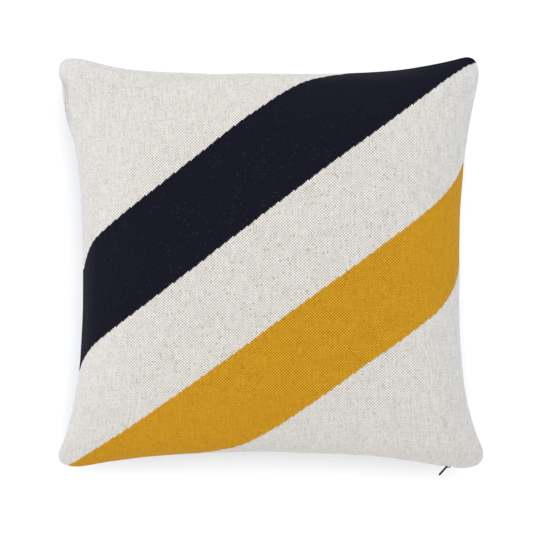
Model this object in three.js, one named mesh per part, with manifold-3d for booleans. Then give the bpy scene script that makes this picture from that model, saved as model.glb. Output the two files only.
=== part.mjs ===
// A filled square cushion in a knitted cover, lying on its back with the patterned face up.
// Millimetres, +Z up. The origin is the middle of the flat patch it rests on.
// +X is the right side and +Y the top side of the face; the zip is in the seam of the -Y side.

import * as THREE from 'three';
import { mergeVertices } from 'three/addons/utils/BufferGeometryUtils.js';
import { RoundedBoxGeometry } from 'three/addons/geometries/RoundedBoxGeometry.js';
import Module from 'manifold-3d';

// Plan of the cushion. The filling draws the middle of each side in and leaves the corners out.
const MIDDLE_REACH = { left: 214.5, right: 216.5, top: 218.5, bottom: 214 };

// Each corner, along x and along y: where it would be if it were sharp, how round it is, and how
// late the sides flare out to it. Then the height of its seam.
const CORNERS = [
  { right: false, top: true, reach: [254.5, 256.5], round: [45, 33], flare: [2.3, 4.1], seam: 50 },
  { right: true, top: true, reach: [251.5, 249], round: [26, 40], flare: [2.35, 3.3], seam: 49 },
  { right: false, top: false, reach: [257, 243], round: [46, 26.5], flare: [3.2, 2.7], seam: 48 },
  { right: true, top: false, reach: [269.5, 249], round: [60, 38], flare: [3.7, 2.35], seam: 49 },
];
const ROUND_POWER = 8;

// Section of the cushion. Each panel bulges from the seam, and the lower one lies flat on z = 0.
const SEAM_HEIGHT = 61;
const SEAM_DROP_POWER = 2.9;
const CROWN = 76;
const BULGE_POWER = 2.5;
const EDGE_POWER = 0.58;
const CONTACT_EASE = 6;

// Mesh of a panel, with its cells closer together towards the seam.
const CELLS = 36;
const EDGE_CROWDING = 0.85;

// Zip: place along the bottom seam (0 is its middle, 1 its right end), then slider, crown and pull.
const ZIP_PLACE = 0.767;
const CLEARANCE = 0.3;
const SLIDER = { length: 8.4, depth: 3.6, height: 4.6, round: 0.9, inset: 2.7 };
const CROWN_STRAP = { inner: 2.55, outer: 3.35, height: 2, root: 0.6 };
const PULL = { thickness: 1.9, height: 4.4, bar: 0.6, barReach: 1.4, tipReach: 15.8, ease: 0.2 };
const PULL_BEARING = THREE.MathUtils.degToRad(228);

const knit = new THREE.MeshStandardMaterial({ color: 0xdad6ce, roughness: 0.95, metalness: 0 });
const lacquer = new THREE.MeshStandardMaterial({ color: 0x1c1d29, roughness: 0.4, metalness: 0.3 });

const wasm = await Module();
wasm.setup();

// Closed mesh to solid, and back to a geometry.
function toSolid(geometry) {
  const bare = geometry.clone();
  bare.deleteAttribute('normal');
  bare.deleteAttribute('uv');
  const merged = mergeVertices(bare);
  return new wasm.Manifold(new wasm.Mesh({
    numProp: 3,
    vertProperties: new Float32Array(merged.attributes.position.array),
    triVerts: new Uint32Array(merged.index.array),
  }));
}

function toGeometry(solid) {
  const mesh = solid.getMesh();
  const geometry = new THREE.BufferGeometry();
  geometry.setAttribute('position', new THREE.BufferAttribute(mesh.vertProperties, 3));
  geometry.setIndex(new THREE.BufferAttribute(mesh.triVerts, 1));
  geometry.computeVertexNormals();
  return geometry;
}

function cornerOf(u, v) {
  return CORNERS.find((corner) => corner.right === u > 0 && corner.top === v > 0);
}

// Rounds the corners of the square of panel coordinates with oval arcs, less and less towards its
// middle. The radii along u and v are shares of the panel's half-width.
function roundCorner(u, v, radiusU, radiusV) {
  const far = Math.max(Math.abs(u), Math.abs(v));
  const near = Math.min(Math.abs(u), Math.abs(v));
  const onSide = Math.abs(u) >= Math.abs(v);
  const ovalU = radiusU * far ** ROUND_POWER;
  const ovalV = radiusV * far ** ROUND_POWER;
  const arc = onSide ? ovalV : ovalU;
  if (near <= far - arc) {
    return [u, v];
  }
  const angle = ((near - far + arc) / arc) * (Math.PI / 4);
  const out = 1 - Math.cos(angle);
  const along = 1 - Math.sin(angle);
  const a = far - ovalU * (onSide ? out : along);
  const b = far - ovalV * (onSide ? along : out);
  return [Math.sign(u) * a, Math.sign(v) * b];
}

// Place on the cushion's plan and the seam's level there, for panel coordinates from -1 to 1.
function planPoint(u, v) {
  const { right, top, reach, round, flare, seam } = cornerOf(u, v);
  const sideX = right ? MIDDLE_REACH.right : MIDDLE_REACH.left;
  const sideY = top ? MIDDLE_REACH.top : MIDDLE_REACH.bottom;
  const [a, b] = roundCorner(u, v, round[0] / sideX, round[1] / sideY);
  const reachX = sideX + (reach[0] - sideX) * Math.abs(b) ** flare[0];
  const reachY = sideY + (reach[1] - sideY) * Math.abs(a) ** flare[1];
  const drop = (seam - SEAM_HEIGHT) * Math.abs(a * b) ** SEAM_DROP_POWER;
  return new THREE.Vector3(a * reachX, b * reachY, SEAM_HEIGHT + drop);
}

// Height of a panel over the seam's level: full in the middle, steep at the seam, none on it.
function bulge(u, v) {
  const across = Math.max(0, 1 - Math.abs(u) ** BULGE_POWER);
  const along = Math.max(0, 1 - Math.abs(v) ** BULGE_POWER);
  return CROWN * (across * along) ** EDGE_POWER;
}

// Depth of the lower panel, eased into the level of the surface and no lower.
function restingDepth(depth, limit) {
  if (depth >= limit + CONTACT_EASE) {
    return limit;
  }
  const over = Math.max(0, depth - limit + CONTACT_EASE);
  return depth - (over * over) / (4 * CONTACT_EASE);
}

function panelPoint(u, v, upper) {
  const point = planPoint(u, v);
  const height = bulge(u, v);
  if (upper) {
    point.z += height;
  } else {
    point.z -= restingDepth(height, point.z);
  }
  return point;
}

function gridLine(step) {
  const quarter = (Math.PI / 2) * EDGE_CROWDING;
  return Math.sin(((2 * step) / CELLS - 1) * quarter) / Math.sin(quarter);
}

// Both panels, joined along the seam into one closed form.
function filledCover() {
  const positions = [];
  const indices = [];
  for (const upper of [true, false]) {
    const first = positions.length / 3;
    for (let row = 0; row <= CELLS; row++) {
      for (let column = 0; column <= CELLS; column++) {
        positions.push(...panelPoint(gridLine(column), gridLine(row), upper).toArray());
      }
    }
    for (let row = 0; row < CELLS; row++) {
      for (let column = 0; column < CELLS; column++) {
        const a = first + row * (CELLS + 1) + column;
        const b = a + 1;
        const c = b + CELLS + 1;
        const d = a + CELLS + 1;
        // The diagonal of each cell points to the nearest corner, so the edge cells stay full.
        const towards = (row < CELLS / 2) === (column < CELLS / 2);
        const cell = towards ? [a, b, c, a, c, d] : [a, b, d, b, c, d];
        indices.push(...(upper ? cell : cell.reverse()));
      }
    }
  }
  const geometry = new THREE.BufferGeometry();
  geometry.setAttribute('position', new THREE.Float32BufferAttribute(positions, 3));
  geometry.setIndex(indices);
  return mergeVertices(geometry);
}

// Frame of the zip: its origin is on the seam, x runs along the seam and -y points outwards.
function zipFrame() {
  const step = 0.01;
  const before = planPoint(ZIP_PLACE - step, -1);
  const after = planPoint(ZIP_PLACE + step, -1);
  const frame = new THREE.Group();
  frame.position.copy(planPoint(ZIP_PLACE, -1));
  frame.rotation.z = Math.atan2(after.y - before.y, after.x - before.x);
  frame.updateMatrixWorld();
  return frame;
}

// The notch in which the slider lies between the parted lips of the seam.
function sliderNotch(frame) {
  const back = SLIDER.inset + SLIDER.depth + CLEARANCE;
  const front = -back;
  const notch = new THREE.BoxGeometry(
    SLIDER.length + 2 * CLEARANCE,
    back - front,
    SLIDER.height + 2 * CLEARANCE,
  );
  notch.translate(0, (back + front) / 2, 0);
  return notch.applyMatrix4(frame.matrixWorld);
}

// Slider body with its crown, a half-round strap that the pull hangs on.
function sliderGeometry() {
  const body = new RoundedBoxGeometry(SLIDER.length, SLIDER.depth, SLIDER.height, 2, SLIDER.round);
  body.translate(0, SLIDER.inset + SLIDER.depth / 2, 0);
  const outline = new THREE.Shape();
  outline.moveTo(CROWN_STRAP.outer, CROWN_STRAP.root);
  outline.lineTo(CROWN_STRAP.inner, CROWN_STRAP.root);
  outline.lineTo(CROWN_STRAP.inner, 0);
  outline.absarc(0, 0, CROWN_STRAP.inner, 0, Math.PI, true);
  outline.lineTo(-CROWN_STRAP.inner, CROWN_STRAP.root);
  outline.lineTo(-CROWN_STRAP.outer, CROWN_STRAP.root);
  outline.lineTo(-CROWN_STRAP.outer, 0);
  outline.absarc(0, 0, CROWN_STRAP.outer, Math.PI, 0, false);
  outline.closePath();
  const strap = new THREE.ExtrudeGeometry(outline, {
    depth: CROWN_STRAP.height,
    bevelEnabled: false,
    curveSegments: 12,
  });
  strap.translate(0, SLIDER.inset, -CROWN_STRAP.height / 2);
  return toGeometry(toSolid(body).add(toSolid(strap)));
}

// Flat pull with a window for the crown at its inner end and a round tip.
function pullGeometry() {
  const half = PULL.height / 2;
  const plateStart = CROWN_STRAP.outer + CLEARANCE;
  const windowHalf = CROWN_STRAP.height / 2 + CLEARANCE;
  const ease = PULL.ease;
  const outline = new THREE.Shape();
  outline.moveTo(PULL.barReach + ease, ease - half);
  outline.lineTo(PULL.tipReach - half, ease - half);
  outline.absarc(PULL.tipReach - half, 0, half - ease, -Math.PI / 2, Math.PI / 2, false);
  outline.lineTo(PULL.barReach + ease, half - ease);
  outline.closePath();
  const window = new THREE.Path();
  window.moveTo(PULL.barReach + PULL.bar - ease, -windowHalf - ease);
  window.lineTo(PULL.barReach + PULL.bar - ease, windowHalf + ease);
  window.lineTo(plateStart + ease, windowHalf + ease);
  window.lineTo(plateStart + ease, -windowHalf - ease);
  window.closePath();
  outline.holes.push(window);
  const plate = new THREE.ExtrudeGeometry(outline, {
    depth: PULL.thickness - 2 * ease,
    bevelThickness: ease,
    bevelSize: ease,
    bevelSegments: 1,
    curveSegments: 8,
  });
  plate.translate(0, 0, ease - PULL.thickness / 2);
  plate.rotateX(Math.PI / 2);
  return plate;
}

const zip = zipFrame();

const cover = new THREE.Mesh(
  toGeometry(toSolid(filledCover()).subtract(toSolid(sliderNotch(zip)))),
  knit,
);
cover.name = 'cover';

const slider = new THREE.Mesh(sliderGeometry(), lacquer);
slider.name = 'zip_slider';

const pull = new THREE.Mesh(pullGeometry(), lacquer);
pull.name = 'zip_pull';
pull.position.y = SLIDER.inset;
pull.rotation.z = PULL_BEARING - zip.rotation.z;

zip.add(slider, pull);

const cushion = new THREE.Group();
cushion.add(cover, zip);

export default cushion;
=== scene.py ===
# %% [markdown]
# # A knitted cushion, from flat cloth to filled form
# The object is a square cushion in a fine knitted cover. It lies on its back and is seen from above.
# Two knitted panels are linked edge to edge, turned, and filled until the face crowns, the sides
# draw in and the corners stay out as blunt ears. A small zip pull hangs from the bottom seam.
# We make it in the order in which it is really made: cut, sew, fill, lay down, then dress and light it.

# %% Load the frame
import math

import bpy
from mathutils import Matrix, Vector, noise


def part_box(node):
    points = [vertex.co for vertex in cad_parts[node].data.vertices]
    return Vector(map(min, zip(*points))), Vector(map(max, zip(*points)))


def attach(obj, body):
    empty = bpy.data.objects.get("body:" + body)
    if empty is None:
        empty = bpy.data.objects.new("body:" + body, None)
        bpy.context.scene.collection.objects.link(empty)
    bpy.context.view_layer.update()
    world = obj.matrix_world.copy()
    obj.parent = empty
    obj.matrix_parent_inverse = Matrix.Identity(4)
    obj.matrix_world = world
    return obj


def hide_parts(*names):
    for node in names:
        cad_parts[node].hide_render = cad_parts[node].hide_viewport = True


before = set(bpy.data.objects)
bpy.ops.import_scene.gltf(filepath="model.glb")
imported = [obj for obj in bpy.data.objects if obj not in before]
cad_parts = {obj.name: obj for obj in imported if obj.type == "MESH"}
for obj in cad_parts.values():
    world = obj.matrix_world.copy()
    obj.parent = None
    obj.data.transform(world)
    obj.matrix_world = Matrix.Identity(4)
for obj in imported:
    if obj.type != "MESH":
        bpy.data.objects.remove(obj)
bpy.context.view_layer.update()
COVER_LOW, COVER_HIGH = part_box("cover")
SCENE = bpy.context.scene
print("the cover fills", [round(1000 * side) for side in COVER_HIGH - COVER_LOW], "mm")

# %% [markdown]
# Before any piece is made we write two helpers. An operator acts on all that is selected, and the
# loaded solids come in selected, so one helper lets everything go. The other then takes up a single
# piece, which is what a modifier needs before it can be applied.

# %% Two helpers
def let_go():
    """Leaves nothing selected, so that the next operator sees only what it is meant for."""
    if bpy.context.object and bpy.context.object.mode != "OBJECT":
        bpy.ops.object.mode_set(mode="OBJECT")
    bpy.ops.object.select_all(action="DESELECT")


def take(piece):
    """Selects one piece and makes it active."""
    let_go()
    piece.select_set(True)
    bpy.context.view_layer.objects.active = piece


# %% [markdown]
# ## The flat cover
# A 50 cm cover starts as two squares of knit. A grid is a good stand-in for knit, because its rows
# and columns run the way courses and wales do. The rows are set closer together towards the edge,
# where the seam will need fine detail, and the four corners are rounded, as they are when two
# panels are linked. Each point remembers its row and column, and how far it lies from the edge.
# The shaping, the seam and the finish of the cloth use these later.

# %% Sizes of the flat cover
PANEL = 0.500
HALF = PANEL / 2
CELLS = 92
EDGE_CROWDING = 0.8
FLAT_CORNER = 0.024
CORNER_POWER = 8


def crowded(step):
    """Place of a grid line, from -1 to 1, with the lines closer together towards both ends."""
    quarter = math.pi / 2 * EDGE_CROWDING
    return math.sin((2 * step / CELLS - 1) * quarter) / math.sin(quarter)


def rounded(a, b, round_a, round_b):
    """Rounds the corners of the square from -1 to 1 with oval arcs, less towards its middle."""
    far, near = max(abs(a), abs(b)), min(abs(a), abs(b))
    round_a, round_b = round_a * far ** CORNER_POWER, round_b * far ** CORNER_POWER
    arc = round_b if abs(a) >= abs(b) else round_a
    if near <= far - arc:
        return a, b
    angle = (near - far + arc) / arc * math.pi / 4
    out, along = 1 - math.cos(angle), 1 - math.sin(angle)
    if abs(a) < abs(b):
        out, along = along, out
    return math.copysign(far - round_a * out, a), math.copysign(far - round_b * along, b)


# %% Knit the front panel
let_go()
bpy.ops.mesh.primitive_grid_add(x_subdivisions=CELLS, y_subdivisions=CELLS, size=PANEL)
cover = bpy.context.object
cover.name = "cushion_cover"
for name, kind in (("column", "INT"), ("row", "INT"), ("from_seam", "FLOAT")):
    cover.data.attributes.new(name, kind, "POINT")
columns, rows, from_seam = (cover.data.attributes[name] for name in ("column", "row", "from_seam"))
for index, vertex in enumerate(cover.data.vertices):
    rows.data[index].value, columns.data[index].value = divmod(index, CELLS + 1)
    a, b = crowded(columns.data[index].value), crowded(rows.data[index].value)
    from_seam.data[index].value = HALF * (1 - max(abs(a), abs(b)))
    across, up = rounded(a, b, FLAT_CORNER / HALF, FLAT_CORNER / HALF)
    vertex.co = (HALF * across, HALF * up, 0)
knit_map = cover.data.uv_layers[0]
knit_map.name = "knit"
for corner, place in zip(cover.data.loops, knit_map.data):
    flat = cover.data.vertices[corner.vertex_index].co
    place.uv = (flat.x / PANEL + 0.5, flat.y / PANEL + 0.5)
print("the front panel has", len(cover.data.polygons), "cells")

# %% [markdown]
# ## Sewing
# The back panel is a copy of the front, turned over. Both are lifted a little off the plane of the
# seam, so that they don't touch, and then their edges are merged into one closed line. The merged
# edge is the linked seam of the real cover.

# %% Turn a copy over and link the edges
START_DOME = 0.030
FACE, BACK = 0, 1
for name in ("knit_face", "knit_back"):
    cover.data.materials.append(bpy.data.materials.new(name))


def dome(point):
    """Height of the slack panel over the seam's plane before it is filled."""
    return START_DOME * max(0.0, (1 - (point.x / HALF) ** 4) * (1 - (point.y / HALF) ** 4)) ** 0.5


bpy.ops.object.mode_set(mode="EDIT")
bpy.ops.mesh.select_all(action="DESELECT")
bpy.ops.mesh.select_non_manifold(extend=False, use_wire=False, use_multi_face=False,
                                 use_non_contiguous=False, use_verts=False)
bpy.ops.object.vertex_group_assign_new()
cover.vertex_groups[0].name = "seam"
bpy.ops.mesh.select_all(action="SELECT")
bpy.ops.mesh.duplicate()
bpy.ops.mesh.flip_normals()
cover.active_material_index = BACK
bpy.ops.object.material_slot_assign()
bpy.ops.object.mode_set(mode="OBJECT")
panel_points = len(cover.data.vertices) // 2
for vertex in cover.data.vertices:
    facing = 0 if vertex.groups else 1 if vertex.index < panel_points else -1
    vertex.co.z = facing * dome(vertex.co)
bpy.ops.object.mode_set(mode="EDIT")
bpy.ops.mesh.select_all(action="DESELECT")
bpy.ops.object.vertex_group_set_active(group="seam")
bpy.ops.object.vertex_group_select()
bpy.ops.mesh.remove_doubles(threshold=0.0001)
bpy.ops.object.mode_set(mode="OBJECT")
print("the sewn cover has", len(cover.data.vertices), "points, all closed")

# %% [markdown]
# ## Filling
# The filling pushes from inside, so the cover becomes cloth under pressure, with gravity off. The
# knit gives a little when it is pulled and folds away almost freely when it is squeezed, so its
# compression is very soft. That lets the sides draw in without hard creases. The run stops when
# the middle of each side has come in as far as that of the real one.

# %% Fill it by cloth simulation
FILL_FRAMES = 24
filling = cover.modifiers.new("filling", "CLOTH")
cloth = filling.settings
cloth.quality = 6
cloth.mass = 0.3
cloth.tension_stiffness = 5
cloth.compression_stiffness = 0.1
cloth.shear_stiffness = 0.3
cloth.bending_stiffness = 8
cloth.air_damping = 3
cloth.use_pressure = True
cloth.uniform_pressure_force = 3
cloth.effector_weights.gravity = 0
filling.collision_settings.use_collision = False
filling.point_cache.frame_end = FILL_FRAMES
SCENE.frame_end = FILL_FRAMES
for step in range(1, FILL_FRAMES + 1):
    SCENE.frame_set(step)
take(cover)
bpy.ops.object.modifier_apply(modifier=filling.name)
SCENE.frame_set(1)
HALF_DEPTH = max(vertex.co.z for vertex in cover.data.vertices)
print("filled: corners reach %.0f mm, side middles %.0f mm, half as thick as %.0f mm" % (
    1000 * max(v.co.x for v in cover.data.vertices),
    1000 * max(v.co.x for v in cover.data.vertices if abs(v.co.y) < 0.01), 1000 * HALF_DEPTH))

# %% [markdown]
# ## Laid on its back
# A real cushion is never as even as a simulated one. Its four corners reach out by different
# amounts, and the seam sinks a little towards them. So the seam is drawn to the measured outline,
# and the cloth between follows: a point inside takes a share of the move of the seam on its four
# sides. The filling settles, which takes some height from the shoulders and leaves a rounder
# section. Then the back panel is pressed flat where it meets the surface.

# %% Draw the seam to its outline
SEAM_HEIGHT = 0.061
SEAM_DROP_POWER = 2.9
CROWN = 0.076
ROUNDNESS = 1.4
CONTACT_EASE = 0.012
# How far the middles of the sides reach: left and right, then bottom and top.
REACH_X = {-1: 0.2144, 1: 0.2167}
REACH_Y = {-1: 0.2140, 1: 0.2186}
# Each corner, along x and along y: where it would be if it were sharp, how round it is, and how
# late the sides flare out to it. Then the height of its seam.
CORNERS = {
    (-1, 1): ((0.2547, 0.2564), (0.0452, 0.0331), (2.31, 4.09), 0.050),
    (1, 1): ((0.2514, 0.2491), (0.0260, 0.0403), (2.34, 3.27), 0.049),
    (-1, -1): ((0.2572, 0.2431), (0.0462, 0.0265), (3.18, 2.71), 0.048),
    (1, -1): ((0.2695, 0.2490), (0.0600, 0.0380), (3.72, 2.37), 0.049),
}


def outline(a, b):
    """Place on the laid cushion of a point of the seam's sheet, for panel places from -1 to 1."""
    right, top = 1 if a > 0 else -1, 1 if b > 0 else -1
    reach, blunt, flare, height = CORNERS[right, top]
    side_x, side_y = REACH_X[right], REACH_Y[top]
    a, b = rounded(a, b, blunt[0] / side_x, blunt[1] / side_y)
    return Vector((
        a * (side_x + (reach[0] - side_x) * abs(b) ** flare[0]),
        b * (side_y + (reach[1] - side_y) * abs(a) ** flare[1]),
        SEAM_HEIGHT + (height - SEAM_HEIGHT) * abs(a * b) ** SEAM_DROP_POWER))


def resting(depth, limit):
    """Depth of the back panel under the seam, eased into the surface and no lower."""
    if depth >= limit + CONTACT_EASE:
        return limit
    over = max(0.0, depth - limit + CONTACT_EASE)
    return depth - over * over / (4 * CONTACT_EASE)


columns, rows = (cover.data.attributes[name] for name in ("column", "row"))
cell = [(columns.data[v.index].value, rows.data[v.index].value) for v in cover.data.vertices]
shift = {}
for vertex, (column, row) in zip(cover.data.vertices, cell):
    if column in (0, CELLS) or row in (0, CELLS):
        shift[column, row] = outline(crowded(column), crowded(row)) - vertex.co


def carried(column, row):
    """How far the cloth inside goes with the seam, blended from the seam on its four sides."""
    across, up = (crowded(column) + 1) / 2, (crowded(row) + 1) / 2
    sides = (shift[0, row].lerp(shift[CELLS, row], across)
             + shift[column, 0].lerp(shift[column, CELLS], up))
    low = shift[0, 0].lerp(shift[CELLS, 0], across)
    high = shift[0, CELLS].lerp(shift[CELLS, CELLS], across)
    return sides - low.lerp(high, up)


for vertex, (column, row) in zip(cover.data.vertices, cell):
    height = CROWN * (abs(vertex.co.z) / HALF_DEPTH) ** ROUNDNESS
    upper = vertex.co.z > 0
    place = vertex.co + carried(column, row)
    place.z = outline(crowded(column), crowded(row)).z
    place.z += height if upper else -resting(height, place.z)
    vertex.co = place
print("laid: %.0f mm thick" % (1000 * max(v.co.z for v in cover.data.vertices)))

# %% [markdown]
# The linked seam doesn't run exactly round the widest line. At the upper left it has rolled on to
# the face, so that a sliver of the back panel shows outside it, and a little at the upper right
# too. Each roll turns the edge of the cloth about a line inside it. A slow, shallow unevenness
# over everything stands for the filling.

# %% Roll the seam and let the filling show
# Each roll: its side, its middle, how far it runs up and down from there, its angle in degrees and
# how far the cloth behind it is pushed out.
ROLLS = (
    (-1, 0.203, 0.020, 0.062, 66, 0.0046),
    (-1, 0.180, 0.030, 0.045, 0, 0.0042),
    (1, 0.165, 0.075, 0.075, 16, 0),
    (-1, -0.160, 0.070, 0.070, -8, 0),
)
ROLL_RADIUS = 0.018
ROLL_DEPTH = 0.055
ROLL_FADE_ALONG = 1.5
ROLL_FADE_INSIDE = 2
LUMP_SIZE = 0.085
LUMP_HEIGHT = 0.0016
SMALL_LUMPS = 2.3
SMALL_LUMP_SHARE = 0.5
WANDER_SIZE = 0.045
WANDER = 0.0009
SMALL_LUMP_PLACE, WANDER_PLACE = Vector((7, 3, 5)), Vector((2, 9, 4))


def rolled(point, side, edge, angle, push):
    """Turns a point about a line along the side, up and inwards for a positive angle."""
    out, up = side * (point.x - edge.x) + ROLL_RADIUS, point.z - edge.z
    sine, cosine = math.sin(angle), math.cos(angle)
    point.x = edge.x + side * (out * cosine - up * sine - ROLL_RADIUS + push)
    point.z = edge.z + out * sine + up * cosine


for vertex, (column, row) in zip(cover.data.vertices, cell):
    point, inside = vertex.co, HALF * (1 - abs(crowded(column)))
    for side, middle, above, below, degrees, push in ROLLS:
        away = (point.y - middle) / (above if point.y > middle else below)
        along = max(0.0, 1 - away ** 2)
        grip = max(0.0, 1 - inside / ROLL_DEPTH)
        if side * point.x > 0 and along and grip:
            strength = along ** ROLL_FADE_ALONG * grip ** ROLL_FADE_INSIDE
            edge = outline(side, crowded(row))
            rolled(point, side, edge, math.radians(degrees) * strength, push * strength)
    large = noise.noise(point / LUMP_SIZE)
    small = noise.noise(point / LUMP_SIZE * SMALL_LUMPS + SMALL_LUMP_PLACE)
    lump = large + SMALL_LUMP_SHARE * small
    free = min(1.0, point.z / CONTACT_EASE)
    point.z += LUMP_HEIGHT * lump * free
    wander = noise.noise(point / WANDER_SIZE + WANDER_PLACE)
    outwards = Vector((point.x, point.y, 0)).normalized()
    vertex.co = point + outwards * WANDER * wander * free
take(cover)
smoothing = cover.modifiers.new("smoothing", "SUBSURF")
smoothing.levels = smoothing.render_levels = 1
bpy.ops.object.modifier_apply(modifier=smoothing.name)
bpy.ops.object.shade_smooth()
for name in ("column", "row"):
    cover.data.attributes.remove(cover.data.attributes[name])
print("the cover has", 2 * len(cover.data.polygons), "triangles")

# %% [markdown]
# ## The seam
# Linking pulls the two edges into a shallow groove with a soft lip of cloth on both sides. The
# distance from the seam, kept since the panel was flat, gives this profile. It is modelled rather
# than bumped, because the groove can be seen against the light from the side.

# %% Groove and lips of the seam
# The groove's depth and width, then the lip's height, its place beside the seam and its spread.
GROOVE = (0.0013, 0.0014)
LIP = (0.0007, 0.0042, 0.0026)


def seam_profile(distance):
    """Height of the cloth over its smooth form, at a distance from the seam."""
    depth, width = GROOVE
    height, place, spread = LIP
    return (height * math.exp(-((distance - place) / spread) ** 2)
            - depth * math.exp(-(distance / width) ** 2))


from_seam = cover.data.attributes["from_seam"]
normals = [vertex.normal.copy() for vertex in cover.data.vertices]
for vertex, normal, distance in zip(cover.data.vertices, normals, from_seam.data):
    vertex.co += normal * seam_profile(distance.value)
print("the seam lies %.1f mm below its lips" % (1000 * (seam_profile(LIP[1]) - seam_profile(0))))

# %% [markdown]
# The slider is set between the lips of the seam, so the cloth there is pushed in to make room for
# it. The push is greatest in the middle of the pocket and dies away at its rim.

# %% Pocket of the zip
# The place along the bottom seam, from -1 to 1, then the pocket's half length, depth, half height.
ZIP_PLACE = 0.767
ZIP_STEP = 0.01
POCKET = Vector((0.0085, 0.0072, 0.0042))
zip_origin = outline(ZIP_PLACE, -1)
along_zip = (outline(ZIP_PLACE + ZIP_STEP, -1) - outline(ZIP_PLACE - ZIP_STEP, -1)).normalized()
into_zip = Vector((0, 0, 1)).cross(along_zip)
moved = 0
for vertex in cover.data.vertices:
    offset = vertex.co - zip_origin
    along, inside, up = offset.dot(along_zip), offset.dot(into_zip), offset.z
    room = max(0.0, 1 - (along / POCKET.x) ** 2) * max(0.0, 1 - (up / POCKET.z) ** 2)
    if room and inside < POCKET.y * room:
        vertex.co += into_zip * (POCKET.y * room - inside)
        moved += 1
print("the pocket moved", moved, "points")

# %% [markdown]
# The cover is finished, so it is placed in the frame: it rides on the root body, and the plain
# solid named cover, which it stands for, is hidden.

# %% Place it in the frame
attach(cover, "root")
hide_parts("cover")

# %% [markdown]
# ## Helpers for the finish
# The finish is made of nodes, and a few helpers keep the cells readable. One adds a node and fills
# or connects its inputs. Three more do the same for a sum, a mix of two colours and a soft noise.
# The last two start a node group with named inputs and outputs, and place it in a material, so that
# each effect is made once and used by every material that needs it.

# %% Node helpers
def add(tree, kind, inputs=None, **settings):
    """Adds a node, sets it, and fills or connects its inputs by name or number."""
    node = tree.nodes.new(kind)
    for key, value in settings.items():
        setattr(node, key, value)
    for socket, value in (inputs or {}).items():
        if isinstance(value, bpy.types.NodeSocket):
            tree.links.new(value, node.inputs[socket])
        else:
            node.inputs[socket].default_value = value
    return node


def sum_of(tree, operation, *values):
    """One sum: adds a math node and gives its result."""
    return add(tree, "ShaderNodeMath", dict(enumerate(values)), operation=operation).outputs[0]


def blend(tree, how, amount, first, second, **settings):
    """Mixes two colours."""
    node = add(tree, "ShaderNodeMix", {0: amount, 6: first, 7: second},
               data_type="RGBA", blend_type=how, **settings)
    return node.outputs[2]


def noise_of(tree, place, stretch, detail=2.0):
    """Soft noise around 0, stretched along the panel's two directions."""
    mapped = add(tree, "ShaderNodeMapping", {"Vector": place, "Scale": stretch}).outputs[0]
    soft = add(tree, "ShaderNodeTexNoise", {"Vector": mapped, "Scale": 1.0, "Detail": detail})
    return sum_of(tree, "SUBTRACT", soft.outputs[0], 0.5)


def effect(name, takes, gives):
    """Starts a node group and gives it with its named inputs and outputs."""
    tree = bpy.data.node_groups.new(name, "ShaderNodeTree")
    kinds = {"f": "NodeSocketFloat", "v": "NodeSocketVector", "c": "NodeSocketColor"}
    for way, sockets in (("INPUT", takes), ("OUTPUT", gives)):
        for label, kind in sockets.items():
            tree.interface.new_socket(label, in_out=way, socket_type=kinds[kind])
    return tree, tree.nodes.new("NodeGroupInput").outputs, tree.nodes.new("NodeGroupOutput").inputs


def use(tree, group, inputs):
    """Places a node group in a material, fills its inputs and gives its outputs."""
    return add(tree, "ShaderNodeGroup", inputs, node_tree=group).outputs


# %% [markdown]
# ## Stitches
# A knit stitch is a V: two legs of yarn that lean out from the middle of the wale. So the panel's
# own map is cut into wales and courses, and each course is pushed along by the distance from the
# middle of the wale. The edge between two colours then steps from stitch to stitch along the legs,
# just as it does in real knitting. The group gives each stitch its column and row, the place
# within it, whether it is an odd or even one, and a random number of its own.

# %% Group: stitch cells
LEG_LEAN = 0.5
cells, given, made = effect(
    "stitch cells", {"Place": "v", "Wales": "f", "Courses": "f"},
    {"Column": "f", "Row": "f", "Across": "f", "Along": "f", "Odd": "f", "Random": "f"})
place = add(cells, "ShaderNodeSeparateXYZ", {0: given["Place"]}).outputs
wale = sum_of(cells, "MULTIPLY", place["X"], given["Wales"])
column = sum_of(cells, "FLOOR", wale)
centred = sum_of(cells, "MULTIPLY_ADD", sum_of(cells, "FRACT", wale), 2.0, -1.0)
across = sum_of(cells, "ABSOLUTE", centred)
course = sum_of(cells, "MULTIPLY", place["Y"], given["Courses"])
leaning = sum_of(cells, "MULTIPLY_ADD", across, -LEG_LEAN, course)
row = sum_of(cells, "FLOOR", leaning)
number = add(cells, "ShaderNodeCombineXYZ", {0: column, 1: row}).outputs[0]
random = add(cells, "ShaderNodeTexWhiteNoise", {"Vector": number},
             noise_dimensions="2D").outputs["Value"]
odd = sum_of(cells, "FLOORED_MODULO", sum_of(cells, "ADD", column, row), 2.0)
for label, value in (("Column", column), ("Row", row), ("Across", across), ("Random", random),
                     ("Along", sum_of(cells, "FRACT", leaning)), ("Odd", odd)):
    cells.links.new(value, made[label])
print("stitch cells takes", len(cells.nodes), "nodes")

# %% [markdown]
# The relief of a stitch is the round back of its yarn: highest along the middle of each leg, and
# lower where the next course covers its end. Fine twisted fibres lie on top of it.

# %% Group: yarn relief
OVERLAP_LOW = 0.5
FIBRES_ACROSS = 2400.0
relief, given, made = effect(
    "yarn relief", {"Place": "v", "Across": "f", "Along": "f", "Fibre": "f"}, {"Height": "f"})


def hump(value):
    """A round back: 0 at both ends of the range from 0 to 1, and 1 in its middle."""
    centred = sum_of(relief, "MULTIPLY_ADD", value, 2.0, -1.0)
    rest = sum_of(relief, "SUBTRACT", 1.0, sum_of(relief, "MULTIPLY", centred, centred))
    return sum_of(relief, "SQRT", sum_of(relief, "MAXIMUM", rest, 0.0))


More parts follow.
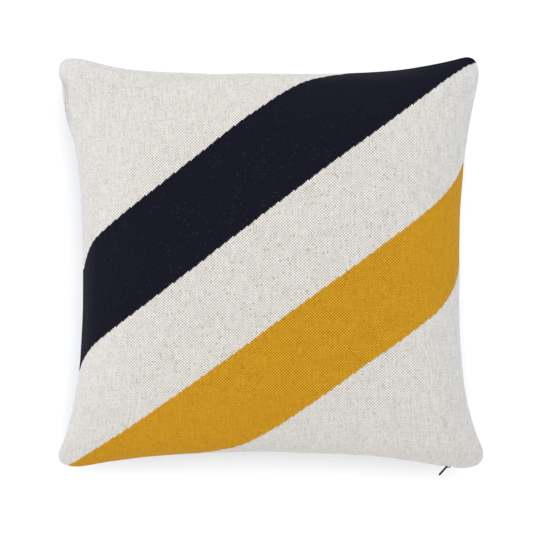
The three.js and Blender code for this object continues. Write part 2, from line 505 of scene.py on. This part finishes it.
leg = hump(given["Across"])
overlap = sum_of(relief, "MULTIPLY_ADD", hump(given["Along"]), 1.0 - OVERLAP_LOW, OVERLAP_LOW)
fibres = add(relief, "ShaderNodeTexNoise",
             {"Vector": given["Place"], "Scale": FIBRES_ACROSS, "Detail": 2.0}).outputs[0]
fuzz = sum_of(relief, "MULTIPLY", sum_of(relief, "SUBTRACT", fibres, 0.5), given["Fibre"])
relief.links.new(sum_of(relief, "MULTIPLY_ADD", leg, overlap, fuzz), made["Height"])

# %% [markdown]
# Where the filling pulls the cloth tight its stitches open and the birdseye pattern is crisp. Near
# the sides, and most of all round the slack upper left corner, the stitches close up and it fades.
# So one group gives the tension of the cloth: low at each side, and low again round that corner.

# %% Group: tension
# Each fade: where it starts and ends, as shares of the panel, and the tension at its low end.
SIDE_FADE = (0.04, 0.28, 0.20)
CORNER_FADE = (0.22, 0.48, 0.5)
SLACK_CORNER = (0.0, 1.0, 0.0)
tension, given, made = effect("tension", {"Place": "v"}, {"Tension": "f"})


def rising(tree, value, start, end, low):
    """Rises smoothly from a low value to 1 between two places."""
    node = add(tree, "ShaderNodeMapRange", {0: value, 1: start, 2: end, 3: low, 4: 1.0},
               interpolation_type="SMOOTHSTEP")
    return node.outputs[0]


sides = add(tension, "ShaderNodeSeparateXYZ", {0: given["Place"]}).outputs
tight = 1.0
for side in (sides["X"], sides["Y"]):
    middle = sum_of(tension, "ABSOLUTE", sum_of(tension, "SUBTRACT", side, 0.5))
    inwards = sum_of(tension, "SUBTRACT", 0.5, middle)
    tight = sum_of(tension, "MULTIPLY", tight, rising(tension, inwards, *SIDE_FADE))
away = add(tension, "ShaderNodeVectorMath", {0: given["Place"], 1: SLACK_CORNER},
           operation="DISTANCE").outputs["Value"]
loose = rising(tension, away, *CORNER_FADE)
tension.links.new(sum_of(tension, "MULTIPLY", tight, loose), made["Tension"])

# %% [markdown]
# The yarn is a marl of two plies. The birdseye structure brings the deeper ply to the face at every
# other stitch. It is stronger in some patches than in others, and it fades where the cloth is
# slack, so there the closed stitches show the plies evenly. The plies also twist over by chance,
# which makes a few single stitches much darker, and the yarn isn't even, which makes short streaks
# along the wales and the courses. These two are the same in slack and in tight cloth.

# %% Group: marl
# The noises count their cells along the courses and along the wales of a panel. The second draw
# is a factor that makes another random number out of the stitch's own.
PATCHES = (38.0, 38.0, 1.0)
PATCH_CONTRAST = 2.0
TWIST_RARITY = 4.0
WALE_STREAKS, COURSE_STREAKS = (250.0, 22.0, 1.0), (26.0, 260.0, 1.0)
COURSE_STREAK_SHARE = 0.6
SECOND_DRAW = 37.0
marl, given, made = effect(
    "marl", {"Place": "v", "Odd": "f", "Random": "f", "Tension": "f", "Yarn": "c", "Second ply": "c",
             "Fleck": "c", "Share": "f", "Closed": "f", "Birdseye": "f", "Unevenness": "f",
             "Streaks": "f", "Flecks": "f"}, {"Color": "c"})
strength = sum_of(marl, "MULTIPLY_ADD", noise_of(marl, given["Place"], PATCHES), PATCH_CONTRAST, 1.0)
eye = sum_of(marl, "MULTIPLY", sum_of(marl, "SUBTRACT", given["Odd"], 0.5), given["Birdseye"])
chance = sum_of(marl, "SUBTRACT", sum_of(marl, "POWER", given["Random"], TWIST_RARITY),
                1.0 / (TWIST_RARITY + 1.0))
streak = sum_of(marl, "MULTIPLY_ADD", noise_of(marl, given["Place"], COURSE_STREAKS, 1.0),
                COURSE_STREAK_SHARE, noise_of(marl, given["Place"], WALE_STREAKS, 1.0))
slack = sum_of(marl, "SUBTRACT", 1.0, given["Tension"])
even = sum_of(marl, "MULTIPLY_ADD", slack, given["Closed"], given["Share"])
streaked = sum_of(marl, "MULTIPLY_ADD", streak, given["Streaks"], even)
twisted = sum_of(marl, "MULTIPLY_ADD", chance, given["Unevenness"], streaked)
open_eye = sum_of(marl, "MULTIPLY", sum_of(marl, "MULTIPLY", eye, strength), given["Tension"])
share = sum_of(marl, "ADD", open_eye, twisted)
plied = blend(marl, "MIX", share, given["Yarn"], given["Second ply"], clamp_factor=False)
draw = sum_of(marl, "FRACT", sum_of(marl, "MULTIPLY", given["Random"], SECOND_DRAW))
flecked = sum_of(marl, "LESS_THAN", draw, given["Flecks"])
tint = sum_of(marl, "MULTIPLY", flecked, given["Tension"])
marl.links.new(blend(marl, "MIX", tint, plied, given["Fleck"]), made["Color"])

# %% [markdown]
# The face carries plain diagonal stripes. The stripe is tested once for each stitch, with the
# stitch's own column and row, so its edge goes in whole stitches.

# %% Group: stripe
stripe, given, made = effect(
    "stripe", {"Column": "f", "Row": "f", "Wales": "f", "Courses": "f", "Slope": "f",
               "From": "f", "To": "f"}, {"Mask": "f"})
x = sum_of(stripe, "SUBTRACT", sum_of(stripe, "DIVIDE", given["Column"], given["Wales"]), 0.5)
y = sum_of(stripe, "SUBTRACT", sum_of(stripe, "DIVIDE", given["Row"], given["Courses"]), 0.5)
lift = sum_of(stripe, "MULTIPLY", y, sum_of(stripe, "COSINE", given["Slope"]))
drift = sum_of(stripe, "MULTIPLY", x, sum_of(stripe, "SINE", given["Slope"]))
offset = sum_of(stripe, "SUBTRACT", lift, drift)
over = sum_of(stripe, "GREATER_THAN", offset, given["From"])
under = sum_of(stripe, "LESS_THAN", offset, given["To"])
stripe.links.new(sum_of(stripe, "MULTIPLY", over, under), made["Mask"])

# %% [markdown]
# Down in the seam's groove the colour is painted a touch darker, as painted shade. Where the
# cloth turns away, over the last few centimetres and most of all at the left and right, the fine
# fibres that stand off the yarn are seen from the side; a painted sheen, paler and cooler than the
# yarn, stands for them.

# %% Group: painted seam shade and sheen
# The painted shade's width in metres and its depth, then the painted sheen's reach in metres and its
# share, how steeply it grows to the left and right, and how it rises along these sides from the bottom.
SHADE_WIDTH, SHADE_DEPTH = 0.0016, 0.28
SHEEN_REACH, SHEEN_AROUND = 0.03, 0.5
SHEEN_STEEPNESS = 10.0
SHEEN_RISE = (0.0, 0.3, 0.2)
seam_light_paint, given, made = effect("painted seam shade and sheen", {"From Seam": "f", "Place": "v"}, {"Shade": "f", "Painted Sheen": "f"})
# Painted shade: the colour is made darker down in the seam's groove.
near = sum_of(seam_light_paint, "DIVIDE", given["From Seam"], SHADE_WIDTH)
dark = sum_of(seam_light_paint, "EXPONENT", sum_of(seam_light_paint, "MULTIPLY", sum_of(seam_light_paint, "MULTIPLY", near, near), -1.0))
seam_light_paint.links.new(sum_of(seam_light_paint, "MULTIPLY_ADD", dark, -SHADE_DEPTH, 1.0), made["Shade"])
# Painted sheen: paler near the seam all round, and more so towards the left and right sides.
sides = add(seam_light_paint, "ShaderNodeSeparateXYZ", {0: given["Place"]}).outputs
from_middle = sum_of(seam_light_paint, "ABSOLUTE", sum_of(seam_light_paint, "SUBTRACT", sides["X"], 0.5))
growth = sum_of(seam_light_paint, "MULTIPLY_ADD", from_middle, SHEEN_STEEPNESS, -0.5 * SHEEN_STEEPNESS)
sideways = sum_of(seam_light_paint, "MULTIPLY", rising(seam_light_paint, sides["Y"], *SHEEN_RISE),
                  sum_of(seam_light_paint, "EXPONENT", growth))
around = sum_of(seam_light_paint, "EXPONENT", sum_of(seam_light_paint, "DIVIDE", given["From Seam"], -SHEEN_REACH))
reach = sum_of(seam_light_paint, "MULTIPLY_ADD", around, SHEEN_AROUND, sideways)
patches = sum_of(seam_light_paint, "ADD", noise_of(seam_light_paint, given["Place"], PATCHES), 1.0)
seam_light_paint.links.new(sum_of(seam_light_paint, "MULTIPLY", reach, patches), made["Painted Sheen"])

# %% [markdown]
# ## The knit materials
# Both panels share one recipe and differ only in their stripes. The colours are those of the
# yarns: natural, mustard and navy, each with its second ply. The relief goes to the bump, and the
# uniform numbers, such as the sheen of the fibres, sit on the shader itself.

# %% Knit the face and the back
WALES, COURSES = 296.0, 312.0
STITCH_RELIEF = 0.0004
FIBRE_RELIEF = 0.35
ROUGHNESS, ROUGHNESS_DROP = 0.95, -0.12
MARL = {"Share": 0.37, "Closed": 0.27, "Birdseye": 0.80, "Unevenness": 0.24, "Streaks": 0.42,
        "Flecks": 0.03}
PLIES = ("Yarn", "Second ply", "Fleck")
NATURAL = ((0.745, 0.722, 0.690, 1), (0.338, 0.318, 0.288, 1), (0.56, 0.500, 0.42, 1))
MUSTARD = ((0.606, 0.318, 0.018, 1), (0.303, 0.135, 0.005, 1), (0.50, 0.250, 0.016, 1))
NAVY = ((0.0085, 0.0085, 0.0165, 1), (0.0035, 0.0037, 0.0075, 1), (0.015, 0.0155, 0.025, 1))
# The tint of the painted sheen, paler and cooler than the yarn.
PAINTED_SHEEN_TINT = (1.05, 1.088, 1.15, 1)
# The stripes' slope, and for each its yarn and its two edges, as shares of the panel from its middle.
SLOPE = math.radians(37)
STRIPES = ((NAVY, 0.095, 0.285), (MUSTARD, -0.300, -0.110))


def knit(material, stripes):
    """Gives a material the knitted finish, with stripes over the natural ground."""
    material.use_nodes = True
    tree = material.node_tree
    shader = tree.nodes["Principled BSDF"]
    place = add(tree, "ShaderNodeUVMap", uv_map="knit").outputs[0]
    distance = add(tree, "ShaderNodeAttribute", attribute_name="from_seam").outputs["Fac"]
    gauge = {"Wales": WALES, "Courses": COURSES}
    stitch = use(tree, cells, {"Place": place, **gauge})
    tight = use(tree, tension, {"Place": place})["Tension"]
    yarns = {"Place": place, "Odd": stitch["Odd"], "Random": stitch["Random"], "Tension": tight, **MARL}
    colour = use(tree, marl, {**yarns, **dict(zip(PLIES, NATURAL))})["Color"]
    for plies, start, end in stripes:
        dyed = use(tree, marl, {**yarns, **dict(zip(PLIES, plies))})["Color"]
        band = use(tree, stripe, {"Column": stitch["Column"], "Row": stitch["Row"], **gauge,
                                  "Slope": SLOPE, "From": start, "To": end})
        colour = blend(tree, "MIX", band["Mask"], colour, dyed)
    # Painted sheen along the edges and painted shade in the seam's groove go into the colour.
    painted_seam_light = use(tree, seam_light_paint, {"From Seam": distance, "Place": place})
    pale = blend(tree, "MULTIPLY", painted_seam_light["Painted Sheen"], colour, PAINTED_SHEEN_TINT)
    shade = add(tree, "ShaderNodeCombineColor", {i: painted_seam_light["Shade"] for i in range(3)}).outputs[0]
    tree.links.new(blend(tree, "MULTIPLY", 1.0, pale, shade), shader.inputs["Base Color"])
    height = use(tree, relief, {"Place": place, "Across": stitch["Across"], "Along": stitch["Along"],
                                "Fibre": FIBRE_RELIEF})["Height"]
    open_height = sum_of(tree, "MULTIPLY", height, tight)
    bump = add(tree, "ShaderNodeBump", {"Height": open_height, "Distance": STITCH_RELIEF})
    tree.links.new(bump.outputs[0], shader.inputs["Normal"])
    rough = sum_of(tree, "MULTIPLY_ADD", height, ROUGHNESS_DROP, ROUGHNESS)
    tree.links.new(rough, shader.inputs["Roughness"])
    shader.inputs["Specular IOR Level"].default_value = 0.05
    shader.inputs["Sheen Weight"].default_value = 0.01
    shader.inputs["Sheen Roughness"].default_value = 0.5


knit(cover.data.materials[FACE], STRIPES)
knit(cover.data.materials[BACK], ())
print("knitted at %.1f stitches per cm" % (WALES / PANEL / 100))

# %% [markdown]
# ## The zip
# The slider and the pull are die-cast and lacquered in the colour of the navy yarn. Their shape
# comes with the frame, so they only need their finish, put into their own material slots. The
# lacquer is satin, with a slightly uneven coat and fine rubbed spots.

# %% Lacquer the slider and the pull
GRAINS = 900.0
RUBBED = {1: 0.60, 2: 0.78, 3: 0.0, 4: 0.6}
SATIN, SATIN_SPREAD = 0.28, 0.25
lacquer = bpy.data.materials.new("zip_lacquer")
lacquer.use_nodes = True
tree = lacquer.node_tree
shader = tree.nodes["Principled BSDF"]
coat, given, made = effect("rubbed lacquer", {"Place": "v", "Lacquer": "c", "Metal": "c"},
                           {"Color": "c", "Roughness": "f"})
grain = add(coat, "ShaderNodeTexNoise",
            {"Vector": given["Place"], "Scale": GRAINS, "Detail": 4.0}).outputs[0]
rubbed = add(coat, "ShaderNodeMapRange", {0: grain, **RUBBED}).outputs[0]
coat.links.new(blend(coat, "MIX", rubbed, given["Lacquer"], given["Metal"]), made["Color"])
coat.links.new(sum_of(coat, "MULTIPLY_ADD", grain, SATIN_SPREAD, SATIN), made["Roughness"])
where = add(tree, "ShaderNodeTexCoord").outputs["Object"]
finish = use(tree, coat, {
    "Place": where, "Lacquer": (0.010, 0.011, 0.020, 1), "Metal": (0.10, 0.10, 0.12, 1)})
tree.links.new(finish["Color"], shader.inputs["Base Color"])
tree.links.new(finish["Roughness"], shader.inputs["Roughness"])
shader.inputs["Specular IOR Level"].default_value = 0.2
for node in ("zip_slider", "zip_pull"):
    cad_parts[node].material_slots[0].material = lacquer
print("lacquered the slider and the pull")

# %% [markdown]
# ## Floor, light and camera
# The cushion is seen from straight above, on a white floor that is almost burnt out. The camera
# stands well back, so there is hardly any perspective, and its lens follows from the width that it
# has to see. The denoiser's prefilter is off, because it would take the single stitches for noise.

# %% Camera and floor
VIEW_CENTRE = Vector((-0.0040, -0.0017, 0.055))
VIEW_WIDTH = 0.6114
CAMERA_DISTANCE = 2.2
FLOOR_SIZE = 8
FLOOR_LEVEL = -0.0003
camera = bpy.data.objects.new("camera", bpy.data.cameras.new("camera"))
SCENE.collection.objects.link(camera)
camera.location = VIEW_CENTRE + Vector((0, 0, CAMERA_DISTANCE))
camera.data.lens = camera.data.sensor_width * CAMERA_DISTANCE / VIEW_WIDTH
SCENE.camera = camera
SCENE.view_settings.view_transform = "Standard"
SCENE.cycles.denoising_prefilter = "NONE"
let_go()
bpy.ops.mesh.primitive_plane_add(size=FLOOR_SIZE, location=(0, 0, FLOOR_LEVEL))
floor = bpy.context.object
floor.name = "floor"
paper = bpy.data.materials.new("floor_paper")
paper.use_nodes = True
paper_shader = paper.node_tree.nodes["Principled BSDF"]
paper_shader.inputs["Base Color"].default_value = (0.845, 0.85, 0.86, 1)
paper_shader.inputs["Roughness"].default_value = 1.0
paper_shader.inputs["Specular IOR Level"].default_value = 0.0
floor.data.materials.append(paper)
print("the lens is %.0f mm" % camera.data.lens)

# %% [markdown]
# Almost all the light comes from a wide soft sky. It is brighter from the left and from the top of
# the picture, and cooler there, which is what rounds the crown. A weak warm lamp helps on the
# cushion's upper left. The floor has to be almost white, and a sky strong enough for that would
# bleach the cushion, so two more lamps are linked to the floor alone. They leave a faint shadow.

# %% Light
AIM = Vector((0, 0, 0.06))
SKY_BELOW, SKY_ABOVE = (1.038, 1.000, 0.970, 1), (1.263, 1.311, 1.359, 1)
SKY_LEFT = (0.305, 0.318, 0.339, 1)
SCENE.world = bpy.data.worlds.new("studio")
SCENE.world.use_nodes = True
sky = SCENE.world.node_tree
direction = add(sky, "ShaderNodeTexCoord").outputs["Generated"]
looking = add(sky, "ShaderNodeSeparateXYZ", {0: direction}).outputs
upwards = sum_of(sky, "MULTIPLY_ADD", looking["Y"], 0.5, 0.5)
leftwards = sum_of(sky, "MULTIPLY_ADD", looking["X"], -0.5, 0.5)
glow = blend(sky, "ADD", leftwards, blend(sky, "MIX", upwards, SKY_BELOW, SKY_ABOVE), SKY_LEFT)
sky.links.new(glow, sky.nodes["Background"].inputs["Color"])


def soft_box(name, place, size, power, colour, lit):
    """A square area light aimed at the cushion, which lights only the things in one list."""
    light = bpy.data.lights.new(name, "AREA")
    light.size, light.energy, light.color = size, power, colour
    lamp = bpy.data.objects.new(name, light)
    SCENE.collection.objects.link(lamp)
    lamp.location = place
    lamp.rotation_euler = (AIM - lamp.location).to_track_quat("-Z", "Y").to_euler()
    lamp.light_linking.receiver_collection = bpy.data.collections.new(name)
    for thing in lit:
        lamp.light_linking.receiver_collection.objects.link(thing)


soft_box("key", place=(-1.35, 1.15, 2.0), size=1.2, power=9.6, colour=(1.0, 0.825, 0.58),
         lit=[cover, *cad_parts.values()])
soft_box("background_light", place=(0.22, 0.26, 2.6), size=1.4, power=5, colour=(1.0, 1.0, 1.0),
         lit=[floor])
soft_box("background_side_light", place=(0.80, 0.95, 2.4), size=1.2, power=14,
         colour=(1.0, 1.0, 1.0), lit=[floor])
print("lit by a sky and", len(bpy.data.lights), "lamps")
